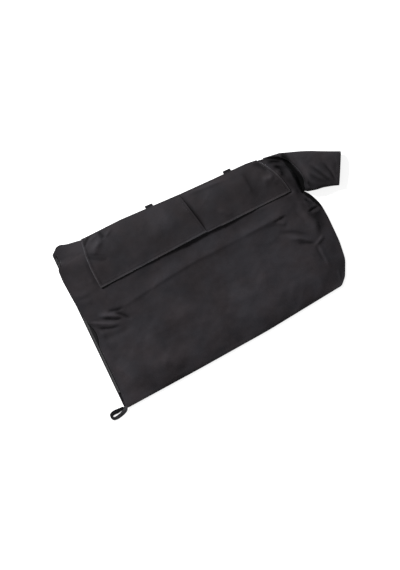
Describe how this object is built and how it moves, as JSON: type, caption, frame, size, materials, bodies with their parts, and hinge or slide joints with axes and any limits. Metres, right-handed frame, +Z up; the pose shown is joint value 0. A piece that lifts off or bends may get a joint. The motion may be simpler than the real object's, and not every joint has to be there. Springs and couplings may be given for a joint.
{
  "type": "blower vacuum collection bag",
  "caption": "Soft zipped cloth bag with a short angled neck sleeve that collects leaves from a garden blower vacuum.",
  "frame": {"origin": "centre of the bounding box at the floor, under the flat back panel", "axes": "+X along the bag from the zip end to the neck end, +Y to the edge with the flaps and strap loops, +Z up from the back panel to the front panel"},
  "size_m": [1.0387, 0.5601, 0.0449],
  "materials": {
    "cloth": "matt woven black cloth",
    "webbing": "ribbed black webbing",
    "zip_tape": "fine woven black tape",
    "zip_teeth": "moulded black plastic",
    "slider_metal": "black lacquered die casting"
  },
  "bodies": {
    "bag": {"front_panel": "cloth", "back_panel": "cloth", "neck_sleeve": "cloth", "left_flap": "cloth", "right_flap": "cloth", "strap_loop_left": "webbing", "strap_loop_right": "webbing", "corner_loop": "webbing", "zip_tape_front": "zip_tape", "zip_tape_back": "zip_tape", "zip_teeth_front": "zip_teeth", "zip_teeth_back": "zip_teeth", "zip_top_stop_front": "zip_teeth", "zip_top_stop_back": "zip_teeth", "zip_bottom_stop": "zip_teeth"},
    "slider": {"zip_slider": "slider_metal"},
    "pull": {"zip_pull": "slider_metal"}
  },
  "joints": [
    {"name": "zip_slide", "type": "slide", "parent": "bag", "child": "slider", "axis": [-0.0776, -0.997, 0], "range_m": [0, 0.438], "deforming": ["zip_teeth_front", "zip_teeth_back"]},
    {"name": "pull_hinge", "type": "hinge", "parent": "slider", "child": "pull", "pos_m": [-0.42091, 0.23848, 0.0085], "axis": [-0.997, 0.0776, 0], "range_deg": [0, 160]}
  ]
}
